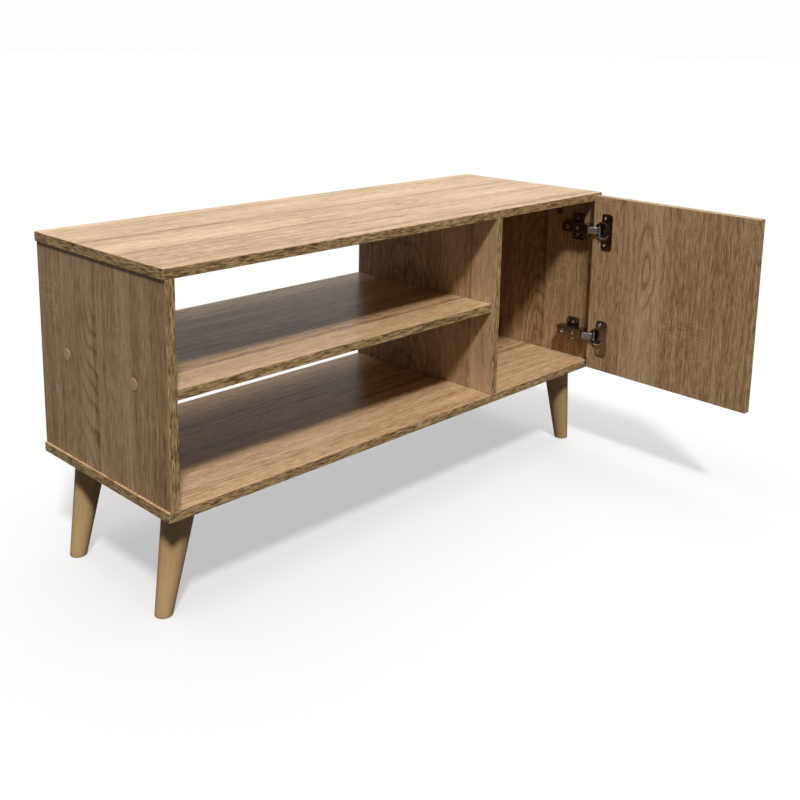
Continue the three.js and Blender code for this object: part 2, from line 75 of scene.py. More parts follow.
# The print on each board. The grain runs along grain, and its strips lie side by side along across.
# The seed picks the pattern, tone scales its colours and shift slides its strips across the board.
# The tones are painted light and shade: the top, shelf, bottom board and door are painted lighter
# and the left side darker, for how the light falls on each. The figure has a strength, a number of
# rings per metre, a place (along, across, reach) measured from the board's middle, and a shape
# (depth, slope, curve), as the oak print's formula says.
Board = namedtuple("Board", "grain across seed tone shift figure rings place shape raw_back",
                   defaults=(False,))
BOARDS = {
    "top_panel": Board(LENGTHWISE, DEPTHWISE, 1.0, 1.16, 0.058, 1.0, 130.0,
        place=(-0.010, -0.010, 0.22), shape=(0.008, 0.03, 0.45)),
    "bottom_panel": Board(LENGTHWISE, DEPTHWISE, 2.3, 1.18, 0.030, 0.5, 110.0,
        place=(0.10, 0.02, 0.30), shape=(0.02, 0.08, 0.2)),
    "shelf": Board(LENGTHWISE, DEPTHWISE, 4.1, 1.18, 0.012, 0.5, 110.0,
        place=(-0.05, -0.03, 0.25), shape=(0.02, 0.10, 0.2)),
    "left_side_panel": Board(UPRIGHT, DEPTHWISE, 5.7, 0.80, 0.090, 0.85, 95.0,
        place=(-0.055, 0.007, 0.20), shape=(0.066, -0.30, 0.0)),
    "right_side_panel": Board(UPRIGHT, DEPTHWISE, 7.2, 1.02, 0.060, 0.6, 90.0,
        place=(0.0, -0.05, 0.28), shape=(0.06, 0.30, 0.0)),
    "divider_panel": Board(UPRIGHT, DEPTHWISE, 8.8, 0.98, 0.020, 0.6, 80.0,
        place=(0.0, 0.05, 0.28), shape=(0.08, 0.25, 0.0)),
    "door": Board(UPRIGHT, DOOR_ALONG, 10.4, 1.15, 0.0, 0.9, 72.0,
        place=(0.053, 0.0485, 0.105), shape=(0.006, 0.0, 1.46)),
    "back_panel": Board(UPRIGHT, LENGTHWISE, 12.9, 0.95, 0.0, 0.5, 90.0,
        place=(0.0, 0.03, 0.3), shape=(0.08, 0.2, 0.0), raw_back=True),
}


# ---- settings ----

def colour(name, description, value):
    return FloatVectorProperty(name=name, description=description, default=value,
                               subtype="COLOR", size=3, min=0.0, max=1.0)


def length(name, description, value):
    return FloatProperty(name=name, description=description, default=value,
                         subtype="DISTANCE", unit="LENGTH", min=0.0)


def factor(name, description, value):
    return FloatProperty(name=name, description=description, default=value,
                         subtype="FACTOR", min=0.0, max=1.0)


def amount(name, description, value):
    return FloatProperty(name=name, description=description, default=value, min=0.0)


class BoardSettings(bpy.types.PropertyGroup):
    light: colour("Light wood", "Palest tone of the printed oak", (0.640, 0.452, 0.275))
    middle: colour("Middle wood", "Main tone of the printed oak", (0.462, 0.296, 0.154))
    dark: colour("Dark wood", "Tone of the streaks and arches", (0.215, 0.124, 0.058))
    band_light: colour("Light band", "Palest tone of the edge band", (0.600, 0.425, 0.225))
    band_middle: colour("Middle band", "Main tone of the edge band", (0.365, 0.235, 0.107))
    band_dark: colour("Dark band", "Tone of the edge band's fine streaks", (0.110, 0.060, 0.023))
    # The pale line along each arris is a painted highlight: the light that the eased edge of a board catches.
    arris: length("Arris", "Width of the pale line where the band meets the face", 0.0010)
    gloss: factor("Roughness", "Roughness of the satin laminate", 0.34)
    raw: colour("Raw hardboard", "Back of the thin panel", (0.430, 0.275, 0.150))


class LegSettings(bpy.types.PropertyGroup):
    top_radius: length("Top radius", "Radius of the leg at the cabinet", 0.0244)
    foot_radius: length("Foot radius", "Radius of the leg at the floor", 0.0129)
    start: length("Start", "Distance from the cabinet to the leg, along its axis", 0.00775)
    rim: length("Rim", "Size of the rounded rims at top and foot", 0.0016)
    wood: colour("Leg wood", "Lacquered beech", (0.590, 0.400, 0.190))
    fleck: colour("Fleck", "Short dark flecks in the beech", (0.430, 0.275, 0.115))
    gloss: factor("Roughness", "Roughness of the lacquer", 0.34)


class FittingSettings(bpy.types.PropertyGroup):
    nickel: colour("Dark nickel", "Hinge cups, arms and plates", (0.250, 0.215, 0.180))
    steel: colour("Bright steel", "Hinge links, pins and screws", (0.640, 0.625, 0.600))
    zinc: colour("Zinc", "Bolts, screws and nails", (0.520, 0.510, 0.495))
    # Darker than the zinc of the screws and bolts: painted shade for the cams, which sit in the shade inside
    # the bays.
    cast: colour("Cast zinc", "Cams", (0.200, 0.190, 0.180))
    coat: colour("Black coat", "Leg plates", (0.030, 0.030, 0.031))
    cap: colour("Cover cap", "Plastic caps over the shelf screws", (0.560, 0.395, 0.240))


class StageSettings(bpy.types.PropertyGroup):
    floor: colour("Floor", "Pale studio floor", (0.360, 0.360, 0.360))
    bounce: colour("Floor bounce", "Light that the floor sends back to the stand", (0.095, 0.090, 0.082))
    floor_radius: length("Floor radius", "Half width of the floor", 40.0)
    sun: amount("Key strength", "Strength of the key light", 2.75)
    sun_spread: FloatProperty(name="Key spread", description="Apparent width of the key light",
                              default=math.radians(7.0), subtype="ANGLE", unit="ROTATION")
    sky: amount("Overhead light", "Brightness of the light from above", 2.60)
    wall: amount("Far wall", "Brightness of the wall behind the stand", 1.20)
    lens: amount("Lens", "Focal length of the camera in millimetres", 46.39)


# ---- surfaces ----

def unit(vector):
    """The vector divided by its own length."""
    vector = np.asarray(vector, float)
    return vector / np.linalg.norm(vector)


def span_along(node, axes):
    """Lowest and highest reach of a frame node along each of the given unit directions."""
    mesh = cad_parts[node].data
    points = np.empty(len(mesh.vertices) * 3)
    mesh.vertices.foreach_get("co", points)
    reach = points.reshape(-1, 3) @ np.asarray(axes, float).T
    return reach.min(0), reach.max(0)


def middle_of(node):
    """Middle of a frame node's box."""
    low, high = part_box(node)
    return np.array((low + high) / 2)


def ring_surface(rows, first_pole, last_pole):
    """A closed skin over rows of points. Each row is a closed ring of the same number of points;
    neighbouring rings are joined by quads, and each end ring is joined to its pole by triangles.
    The sum of the tetrahedra from the origin to every face gives the volume, and a negative
    volume turns all the faces round, so that they point outwards."""
    count, around = rows.shape[:2]
    points = np.concatenate([[first_pole], rows.reshape(-1, 3), [last_pole]])
    here = np.arange(around)
    after = (here + 1) % around
    base = 1 + around * np.arange(count - 1)[:, None]
    quads = np.stack([base + here, base + after, base + around + after, base + around + here], -1)
    quads = quads.reshape(-1, 4)
    last = 1 + around * (count - 1)
    fans = np.concatenate([
        np.stack([np.zeros_like(here), after, here], -1) + [0, 1, 1],
        np.stack([np.full_like(here, len(points) - 1), last + here, last + after], -1),
    ])
    triangles = np.concatenate([quads[:, [0, 1, 2]], quads[:, [0, 2, 3]], fans])
    a, b, c = (points[triangles[:, i]] for i in range(3))
    if np.einsum("ij,ij->i", a, np.cross(b, c)).sum() < 0:
        quads, fans = quads[:, ::-1], fans[:, ::-1]
    return points, quads.tolist() + fans.tolist()


def local_axes(along_x, along_z):
    """The x, y and z directions of a local frame: z as given, x as near to its wish as it can be."""
    z = unit(along_z)
    x = unit(np.asarray(along_x, float) - z * np.dot(along_x, z))
    return np.stack([x, np.cross(z, x), z])


def placed(shell, origin, along_x, along_z):
    """A closed skin of a local frame, moved to an origin and turned by its x and z directions."""
    points, faces = shell
    return np.asarray(origin, float) + points @ local_axes(along_x, along_z), faces


def make_piece(name, shells, material, body, replaced=(), sharp_angle=35.0):
    """One object from one or more closed skins, riding on a body of the frame."""
    points, faces, start = [], [], 0
    for shell_points, shell_faces in shells:
        points.append(shell_points)
        faces += [[start + i for i in face] for face in shell_faces]
        start += len(shell_points)
    mesh = bpy.data.meshes.new(name)
    mesh.from_pydata(np.concatenate(points).tolist(), [], faces)
    if mesh.validate():
        raise RuntimeError(f"{name} has a face that is not valid")
    mesh.shade_smooth()
    mesh.set_sharp_from_angle(angle=math.radians(sharp_angle))
    mesh.materials.append(material)
    piece = bpy.data.objects.new(name, mesh)
    bpy.context.scene.collection.objects.link(piece)
    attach(piece, body)
    if replaced:
        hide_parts(*replaced)
    return piece


def directions(count):
    """Directions in plan, spread evenly round the circle."""
    turn = np.arange(count) * 2 * math.pi / count
    return np.stack([np.cos(turn), np.sin(turn)], -1)


def level_rings(direction, profile):
    """Rows of points. Each ring is (radius, height), and either may be an array with one value
    for each direction."""
    count = len(direction)
    return np.stack([np.concatenate([np.broadcast_to(radius, count)[:, None] * direction,
                                     np.broadcast_to(height, count)[:, None]], -1)
                     for radius, height in profile])


def stacked(direction, profile):
    """A closed skin of level rings. The first and last heights are plain numbers."""
    return ring_surface(level_rings(direction, profile), (0, 0, profile[0][1]), (0, 0, profile[-1][1]))


def lathe(profile, sides=48):
    """A surface of revolution about z: each (radius, height) pair of the profile becomes a ring."""
    return stacked(directions(sides), profile)


def arc(centre, radius, start, end, steps=5):
    """Points on an arc in (radius, height), angles in degrees."""
    turn = np.radians(np.linspace(start, end, steps))
    return np.stack([centre[0] + radius * np.cos(turn), centre[1] + radius * np.sin(turn)], -1)


def screw_head(radius, height, crown, span, width, depth, sides=56):
    """A screw's head seen from above, on z = 0 with its top at z = height.
    The top is a shallow dome, height minus crown times the squared share of the radius, and a
    cross is sunk in it: inside either arm of the cross the top is lowered by the depth, with
    walls that slope over a fifth of the arm's width."""
    direction = directions(sides)
    share = np.concatenate([np.linspace(0.96, 0.72, 4), np.linspace(0.66, 0.04, 20)])
    x, y = (radius * share[:, None] * direction[:, axis] for axis in (0, 1))

    def within(value, half):
        slope = 0.2 * width
        return np.clip((half - np.abs(value)) / slope + 0.5, 0, 1)

    cross = np.maximum(within(x, span / 2) * within(y, width / 2),
                       within(y, span / 2) * within(x, width / 2))
    top = np.stack([x, y, height - crown * share[:, None] ** 2 - depth * cross], -1)
    rim_height = height - crown
    under = level_rings(direction, [(0.9 * radius, 0.0), (radius, 0.25 * rim_height),
                                    (radius, 0.7 * rim_height), (0.985 * radius, 0.93 * rim_height)])
    return ring_surface(np.concatenate([under, top]), (0, 0, 0), (0, 0, height - depth))


def swept_bar(path, half_width, half_height, centre_z, cut=0.0006):
    """A bar carried along a path in plan. At each point of the path the section stands upright
    across the path's direction: a rectangle, half_width to each side and half_height up and
    down, with its corners cut by short bevels. half_width may change along the path."""
    path = np.asarray(path, float)
    ahead = np.gradient(path, axis=0)
    ahead /= np.linalg.norm(ahead, axis=1)[:, None]
    across = np.stack([-ahead[:, 1], ahead[:, 0]], -1)
    wide = np.broadcast_to(half_width, len(path))[:, None]
    side = np.concatenate([wide - cut, wide, wide, wide - cut, cut - wide, -wide, -wide, cut - wide], 1)
    lift = np.array([half_height, half_height - cut, cut - half_height, -half_height,
                     -half_height, cut - half_height, half_height - cut, half_height])
    plan = path[:, None] + side[..., None] * across[:, None]
    rows = np.concatenate([plan, np.broadcast_to((centre_z + lift)[None, :, None], (*side.shape, 1))], -1)
    ends = [(*path[i], centre_z) for i in (0, -1)]
    return ring_surface(rows, *ends)


def rounded_path(corners, ease=0.0022, rounds=3):
    """A path with eased corners. A point is added at the easing distance before and after each
    corner. Then each pass puts two points a quarter and three quarters along every stretch, and
    keeps the two ends, so that the corners melt into short smooth curves."""
    corners = np.asarray(corners, float)
    ahead = np.diff(corners, axis=0)
    ahead *= ease / np.linalg.norm(ahead, axis=1)[:, None]
    bends = np.stack([corners[1:-1] - ahead[:-1], corners[1:-1], corners[1:-1] + ahead[1:]], 1)
    path = np.concatenate([corners[:1], bends.reshape(-1, 2), corners[-1:]])
    for _ in range(rounds):
        quarter = 0.75 * path[:-1] + 0.25 * path[1:]
        three = 0.25 * path[:-1] + 0.75 * path[1:]
        path = np.concatenate([path[:1], np.stack([quarter, three], 1).reshape(-1, 2)[1:-1], path[-1:]])
    return path


def leg_surface(top, outwards, settings):
    """A leaning, tapered leg. Its axis goes down from the top point, leaning by LEG_TILT, and the
    radius falls in a straight line from the top radius to the foot radius. At each angle round
    the axis the wall stops where it meets a level plane just above the floor, and an eased rim,
    a quarter circle in section, takes it down to the level foot."""
    sides = 64
    direction = directions(sides)
    axis = np.array([outwards * math.sin(LEG_TILT), 0, -math.cos(LEG_TILT)])
    level = np.array([outwards * math.cos(LEG_TILT), 0, math.sin(LEG_TILT)])
    spoke = direction[:, :1] * level + direction[:, 1:] * np.array([0, 1.0, 0])
    reach = top[2] / math.cos(LEG_TILT)
    fall = (settings.foot_radius - settings.top_radius) / reach
    rim, start = settings.rim, settings.start
    lift = spoke[:, 2]
    stop = (top[2] - rim + settings.top_radius * lift) / (math.cos(LEG_TILT) - fall * lift)

    def ring(distance, radius):
        return top + distance[:, None] * axis + radius[:, None] * spoke

    rows = []
    for angle in np.radians(np.linspace(0, 75, 5)):
        inset = rim * (1 - math.sin(angle))
        distance = np.full(sides, start + rim * (1 - math.cos(angle)))
        rows.append(ring(distance, settings.top_radius + fall * distance - inset))
    for share in np.linspace(0.012, 1, 28):
        distance = start + rim + share * (stop - start - rim)
        rows.append(ring(distance, settings.top_radius + fall * distance))
    wall_end = rows[-1]
    foot_centre = top + reach * axis
    inwards = (foot_centre - wall_end) * (1, 1, 0)
    inwards /= np.linalg.norm(inwards, axis=1)[:, None]
    for angle in np.radians(np.linspace(18, 90, 5)):
        rows.append(wall_end + inwards * rim * (1 - math.cos(angle))
                    - np.array([0, 0, rim]) * math.sin(angle))
    return ring_surface(np.stack(rows), tuple(top + start * axis), tuple(foot_centre))


def outline_radius(direction, rectangles, corner):
    """How far an outline reaches from the origin along each direction. The outline is that of
    several rectangles with rounded corners, each given as (middle, half size), taken together."""
    distances = np.linspace(0, 0.045, 1801)
    inside = np.zeros((len(direction), len(distances)), bool)
    for middle, half in rectangles:
        apart = np.abs(direction[:, None] * distances[None, :, None] - middle) - half + corner
        inside |= np.linalg.norm(np.maximum(apart, 0), axis=-1) <= corner
    return distances[np.where(inside, np.arange(len(distances)), 0).max(1)]


def cup_surface(centre, floor_depth, flange_far, reach):
    """A hinge cup with its screw flange, about the cup's axis, which is z here with the seat at 0.
    Every ring is a circle inside the mouth. Outside it the ring's radius is the larger of the
    cup's radius and the flange's outline, so one skin holds cup and flange. Where the link
    passes, on the hinge side, the rim is pressed down almost to the seat."""
    direction = directions(144)
    cup, mouth, sheet, near, ease = CUP_RADIUS, 0.0162, CUP_SHEET, 0.0015, 0.0003
    flange = (np.array([(near - flange_far) / 2, 0]), np.array([(near + flange_far) / 2, reach]))
    passage = (cup * direction[:, 0] > near) & (np.abs(cup * direction[:, 1]) < 0.008)
    edge = np.maximum(cup + np.where(passage, 0.0004, 0.0006),
                      outline_radius(direction, [flange], 0.005))
    rise = np.where(passage, 0.03, 1.0)
    deep = -floor_depth
    shell = stacked(direction, [
        (0.4 * cup, deep), (cup - 0.002, deep), (cup - 0.0006, deep + 0.0006), (cup, deep + 0.002),
        (cup, -0.0001), (edge - ease, -0.00005), (edge, rise * ease), (edge, rise * (sheet - ease)),
        (edge - ease, rise * sheet), (mouth + 0.0013, rise * sheet),
        (mouth + 0.0010, rise * (sheet + 0.00025)), (mouth + 0.0003, rise * (sheet + 0.0001)),
        (mouth, rise * (sheet - 0.0005) - 0.0001), (mouth, deep + 0.004), (mouth - 0.001, deep + 0.0016),
        (mouth - 0.003, deep + 0.001), (0.4 * mouth, deep + 0.001)])
    return placed(shell, centre, DOOR_ALONG, DOOR_INWARD)


# ---- node helpers ----

def feed(tree, socket, value):
    """Links a socket to another socket, or gives it a value. None leaves it as it is."""
    if isinstance(value, bpy.types.NodeSocket):
        tree.links.new(value, socket)
    elif value is not None:
        socket.default_value = value


def put(tree, kind, *values, named=None, **settings):
    """Adds a shader node, sets its properties, and feeds its inputs, in order or by name."""
    node = tree.nodes.new(f"ShaderNode{kind}")
    for key, value in settings.items():
        setattr(node, key, value)
    for socket, value in zip(node.inputs, values):
        feed(tree, socket, value)
    for key, value in (named or {}).items():
        feed(tree, node.inputs[key], value)
    return node


def calc(tree, operation, *values):
    return put(tree, "Math", *values, operation=operation).outputs[0]


def vector_calc(tree, operation, *values):
    """Vector maths. The SCALE operation takes its factor as the fourth value."""
    return put(tree, "VectorMath", *values, operation=operation).outputs[0]


def total(tree, *values):
    """The sum of the values."""
    return reduce(lambda a, b: calc(tree, "ADD", a, b), values)


def product(tree, *values):
    """The values multiplied together."""
    return reduce(lambda a, b: calc(tree, "MULTIPLY", a, b), values)


def split(tree, vector):
    return put(tree, "SeparateXYZ", vector).outputs


def joined(tree, x, y, z):
    return put(tree, "CombineXYZ", x, y, z).outputs[0]


def remap(tree, value, low, high, to_low=0.0, to_high=1.0, smooth=True):
    """Takes low to to_low and high to to_high, eased at both ends unless smooth is off."""
    return put(tree, "MapRange", value, low, high, to_low, to_high,
               interpolation_type="SMOOTHSTEP" if smooth else "LINEAR").outputs[0]


def blend(tree, amount, a, b):
    """A colour between a and b. The five inputs passed over belong to numbers and vectors."""
    return put(tree, "Mix", amount, *[None] * 5, a, b, data_type="RGBA").outputs[2]


def noise(tree, position, repeats, detail=2.0, roughness=0.5):
    """Noise with its own number of repeats per metre along each direction."""
    return put(tree, "TexNoise", named={
        "Vector": vector_calc(tree, "MULTIPLY", position, repeats),
        "Scale": 1.0, "Detail": detail, "Roughness": roughness}).outputs[0]


def about_half(tree, value, gain):
    """(value - 0.5) times gain."""
    return product(tree, calc(tree, "SUBTRACT", value, 0.5), gain)


def three_tones(tree, value, stops, given):
    """A blend from dark through middle to light as the value passes each stop."""
    low = blend(tree, remap(tree, value, *stops[:2], smooth=False), given["Dark"], given["Middle"])
    return blend(tree, remap(tree, value, *stops[1:], smooth=False), low, given["Light"])


def new_group(name, inputs, outputs):
    """A node group, with the names of its sockets listed under their kind. Gives its tree, the
    values that come in and the sockets that go out."""
    tree = bpy.data.node_groups.new(name, "ShaderNodeTree")
    for in_out, sockets in (("INPUT", inputs), ("OUTPUT", outputs)):
        for kind, labels in sockets.items():
            for label in labels:
                tree.interface.new_socket(label, in_out=in_out, socket_type=f"NodeSocket{kind}")
    return tree, tree.nodes.new("NodeGroupInput").outputs, tree.nodes.new("NodeGroupOutput").inputs


def group_node(tree, name, build, named):
    """Places the named node group, built when it is first asked for, and gives its outputs."""
    group = bpy.data.node_groups.get(name) or build()
    return put(tree, "Group", named=named, node_tree=group).outputs


def opaque(colour, share=1.0):
    """A share of a colour, with full alpha."""
    return (*(share * channel for channel in colour), 1.0)


def board_lie_group():
    """Where a point lies on its board. The position is measured from the board's middle, with x
    along the grain, y across it and z through the board. The distances to the three pairs of
    faces say which face the point is on, and the middle one of the three is the distance to the
    nearest arris."""
    tree, given, result = new_group("board_lie", {"Vector": ["Position", "Half size"]}, {
        "Float": ["Arris distance", "Edge"], "Vector": ["Band position"]})
    size = vector_calc(tree, "ABSOLUTE", given["Position"])
    x, y, z = split(tree, vector_calc(tree, "SUBTRACT", given["Half size"], size))
    shorter = calc(tree, "MINIMUM", x, y)
    least = calc(tree, "MINIMUM", shorter, z)
    most = calc(tree, "MAXIMUM", calc(tree, "MAXIMUM", x, y), z)
    arris = calc(tree, "SUBTRACT", calc(tree, "SUBTRACT", total(tree, x, y, z), least), most)
    px, py, pz = split(tree, given["Position"])
    band = put(tree, "Mix", calc(tree, "LESS_THAN", x, y), None, None, None,
               given["Position"], joined(tree, py, px, pz), data_type="VECTOR").outputs[1]
    feed(tree, result["Arris distance"], arris)
    feed(tree, result["Edge"], calc(tree, "LESS_THAN", shorter, z))
    feed(tree, result["Band position"], band)
    return tree


def oak_print_group():
    """Sawn oak, grain along x, laid side by side in strips as wide as STRIP.
    A random number for each strip shifts its pattern along the grain and its tone, and its lower
    edge is a little darker. Slow noise bends the grain. Noise stretched along the grain at
    several widths gives streaks, dashes and pores. The figure is the cut through nested growth
    rings: with d = depth + slope u + curve u squared, u along the grain and v across it from the
    figure's place, dark lines run where the root of v squared plus d squared is a whole number
    of ring widths. Faint pale hatching across the grain is the saw's mark."""
    tree, given, result = new_group("oak_print", {
        "Vector": ["Position", "Figure place", "Figure shape"],
        "Float": ["Seed", "Strip shift", "Figure", "Rings"], "Color": ["Light", "Middle", "Dark"]}, {
        "Color": ["Colour"], "Float": ["Height", "Roughness shift"]})
    x, y, z = split(tree, given["Position"])

    def strip_at(across):
        """Place across the board, counted in strips."""
        return calc(tree, "DIVIDE", total(tree, across, given["Strip shift"]), STRIP)

    strip = strip_at(y)
    number = calc(tree, "FLOOR", strip)
    dice = put(tree, "TexWhiteNoise", noise_dimensions="1D", named={
        "W": total(tree, number, given["Seed"])}).outputs["Color"]
    dice_x, dice_y, dice_z = split(tree, dice)
    along = total(tree, x, product(tree, dice_x, 3.0))
    across = total(tree, y, given["Seed"])
    moved = joined(tree, along, across, z)
    slow = about_half(tree, noise(tree, moved, (2.6, 7.0, 7.0), 1.0), 0.034)
    quick = about_half(tree, noise(tree, moved, (22.0, 60.0, 60.0), 1.0), 0.0042)
    bend = total(tree, slow, quick)
    bent = joined(tree, along, total(tree, across, bend), z)

    tone = noise(tree, bent, (1.2, 16.0, 16.0), 1.0)
    streak = noise(tree, bent, (4.5, 130.0, 130.0), 5.0, 0.62)
    dash = noise(tree, bent, (42.0, 500.0, 500.0), 2.0, 0.65)
    fine = noise(tree, bent, (120.0, 1100.0, 1100.0), 2.0, 0.6)
    pore = remap(tree, noise(tree, bent, (34.0, 520.0, 520.0), 1.0), 0.60, 0.70)

    u0, v0, reach = split(tree, given["Figure place"])
    depth, slope, curve = split(tree, given["Figure shape"])
    u = calc(tree, "SUBTRACT", x, u0)
    v = total(tree, calc(tree, "SUBTRACT", y, v0), bend)
    fall = total(tree, depth, product(tree, u, total(tree, slope, product(tree, u, curve))))
    radius = calc(tree, "SQRT", total(tree, product(tree, v, v), product(tree, fall, fall)))
    uneven = total(tree, about_half(tree, streak, 0.30),
                   about_half(tree, noise(tree, moved, (7.0, 17.0, 17.0), 1.0), 2.6))
    ring = calc(tree, "FRACT", total(tree, product(tree, radius, given["Rings"]), uneven))
    line = product(tree, remap(tree, ring, 0.0, 0.09), remap(tree, ring, 0.09, 0.48, 1.0, 0.0))
    own = calc(tree, "COMPARE", number, calc(tree, "FLOOR", strip_at(v0)), 0.5)

    def far(distance):
        """Distance from the figure's place, as a share of its reach."""
        return calc(tree, "DIVIDE", calc(tree, "ABSOLUTE", distance), reach)

    near = product(tree, remap(tree, far(v), 0.05, 0.40, 1.0, 0.04),
                   remap(tree, far(u), 0.5, 1.0, 1.0, 0.0))
    broken = remap(tree, dash, 0.30, 0.55, 0.55, 1.0)
    figure = product(tree, product(tree, line, broken), product(tree, own, near, given["Figure"]))

    seam = product(tree, remap(tree, calc(tree, "FRACT", strip), 0.0, 0.20, 1.0, 0.0),
                   calc(tree, "MAXIMUM", dice_z, own))
    hatched = product(tree, remap(tree, noise(tree, moved, (330.0, 26.0, 26.0), 1.0), 0.53, 0.66),
                      remap(tree, noise(tree, moved, (7.0, 13.0, 13.0), 1.0), 0.52, 0.70, 0.0, 0.16))

    value = total(
        tree, 0.55,
        *(about_half(tree, part, gain) for part, gain in (
            (streak, 1.05), (tone, 0.60), (dash, 1.45), (fine, 0.60), (dice_y, 0.22))),
        *(product(tree, part, gain) for part, gain in (
            (figure, -0.50), (pore, -0.18), (seam, -0.27), (hatched, 1.0))))
    feed(tree, result["Colour"], three_tones(tree, value, (0.12, 0.52, 0.92), given))
    feed(tree, result["Height"], calc(tree, "SUBTRACT", dash, product(tree, pore, 0.7)))
    feed(tree, result["Roughness shift"], about_half(tree, streak, -0.30))
    return tree


def edge_band_group():
    """Printed edge band, grain along x: short wavy dark and pale lines of two widths."""
    tree, given, result = new_group("edge_band", {
        "Vector": ["Position"], "Float": ["Seed"], "Color": ["Light", "Middle", "Dark"]}, {
        "Color": ["Colour"]})
    x, y, z = split(tree, given["Position"])
    wave = about_half(tree, noise(tree, given["Position"], (40.0, 60.0, 60.0), 0.0), 0.0034)
    moved = joined(tree, total(tree, x, given["Seed"]), total(tree, y, wave), total(tree, z, wave))
    wide = noise(tree, moved, (12.0, 160.0, 160.0), 2.0)
    thin = noise(tree, moved, (60.0, 470.0, 470.0), 2.0, 0.6)
    value = total(tree, 0.5, about_half(tree, thin, 2.7), about_half(tree, wide, 0.5))
    feed(tree, result["Colour"], three_tones(tree, value, (0.10, 0.52, 0.95), given))
    return tree


def metal_finish_group():
    """Plated metal: slow mottling in tone and polish, and fine scuffs that run one way."""
    tree, given, result = new_group("metal_finish", {
        "Vector": ["Position"], "Color": ["Metal"], "Float": ["Roughness", "Scuffs"]}, {
        "Color": ["Colour"], "Float": ["Roughness", "Height"]})
    mottle = noise(tree, given["Position"], (160.0, 160.0, 160.0), 3.0)
    scuff = noise(tree, given["Position"], (900.0, 900.0, 120.0), 2.0)
    tone = total(tree, 1.0, about_half(tree, mottle, 0.5))
    feed(tree, result["Colour"], vector_calc(tree, "SCALE", given["Metal"], None, None, tone))
    uneven = total(tree, about_half(tree, mottle, 0.25),
                   product(tree, about_half(tree, scuff, 0.35), given["Scuffs"]))
    feed(tree, result["Roughness"], total(tree, given["Roughness"], uneven))
    feed(tree, result["Height"], product(tree, scuff, given["Scuffs"]))
    return tree


def new_material(name):
    """A material, its node tree and its shader."""
    material = bpy.data.materials.new(name)
    material.use_nodes = True
    return material, material.node_tree, material.node_tree.nodes["Principled BSDF"]


def object_position(tree):
    return put(tree, "TexCoord").outputs["Object"]


def local_position(tree, centre, axes):
    """Object coordinates measured from a centre along three given directions."""
    turned = Matrix(np.asarray(axes, float).T.tolist()).to_euler()
    return put(tree, "Mapping", object_position(tree), tuple(centre), tuple(turned),
               vector_type="TEXTURE").outputs[0]


def finish(tree, shader, colour, roughness, height, depth, strength=0.35):
    """Gives a shader its colour, its roughness, and a relief as deep as depth."""
    relief = put(tree, "Bump", named={
        "Strength": strength, "Distance": depth, "Height": height}).outputs[0]
    for name, value in (("Base Color", colour), ("Roughness", roughness), ("Normal", relief)):
        feed(tree, shader.inputs[name], value)


def board_material(node, board):
    """Printed faces, banded edges and a paler line along every arris of one board, which is a painted
    highlight. A board with a raw back shows plain fibre board there."""
    settings = bpy.context.scene.stand_boards
    material, tree, shader = new_material(f"oak_{node}")
    axes = np.array([board.grain, board.across, np.cross(board.grain, board.across)], float)
    low, high = span_along(node, axes)
    position = local_position(tree, (low + high) / 2 @ axes, axes)
    lie = group_node(tree, "board_lie", board_lie_group, {
        "Position": position, "Half size": tuple((high - low) / 2)})
    oak = group_node(tree, "oak_print", oak_print_group, {
        "Position": position, "Seed": board.seed, "Strip shift": board.shift, "Figure": board.figure,
        "Rings": board.rings, "Figure place": board.place, "Figure shape": board.shape,
        # board.tone scales the print's colours: painted light and shade, lighter on the level boards and the
        # door, darker on the left side.
        "Light": opaque(settings.light, board.tone), "Middle": opaque(settings.middle, board.tone),
        "Dark": opaque(settings.dark, board.tone)})
    band = group_node(tree, "edge_band", edge_band_group, {
        "Position": lie["Band position"], "Seed": board.seed, "Light": opaque(settings.band_light),
        "Middle": opaque(settings.band_middle), "Dark": opaque(settings.band_dark)})
    # Painted highlight: the light band's colour laid in a thin line along every arris.
    line = remap(tree, lie["Arris distance"], settings.arris, 0.4 * settings.arris, 0.0, 0.35)
    colour = blend(tree, line, blend(tree, lie["Edge"], oak["Colour"], band["Colour"]),
                   opaque(settings.band_light))
    roughness = total(tree, settings.gloss, oak["Roughness shift"])
    if board.raw_back:
        through = split(tree, position)[2]
        behind = calc(tree, "LESS_THAN" if axes[2][1] < 0 else "GREATER_THAN", through, 0.0)
        fibre = total(tree, noise(tree, position, (520.0, 520.0, 520.0), 4.0, 0.7),
                      about_half(tree, noise(tree, position, (28.0, 28.0, 28.0), 3.0), 0.7))
        fibre_board = blend(tree, remap(tree, fibre, 0.25, 0.75), opaque(settings.raw, 0.50),
                            opaque(settings.raw))
        colour = blend(tree, behind, colour, fibre_board)
        roughness = calc(tree, "MAXIMUM", roughness, product(tree, behind, 0.75))
    finish(tree, shader, colour, roughness, oak["Height"], 0.00025)
    return material


def metal_material(name, tone, roughness, scuffs, metallic=1.0):
    """Plated metal, or a coat of paint where metallic is 0."""
    material, tree, shader = new_material(name)
    metal = group_node(tree, "metal_finish", metal_finish_group, {
        "Position": object_position(tree), "Metal": opaque(tone), "Roughness": roughness,
        "Scuffs": scuffs})
    shader.inputs["Metallic"].default_value = metallic
    finish(tree, shader, metal["Colour"], metal["Roughness"], metal["Height"], 0.00004, 0.25)
    return material


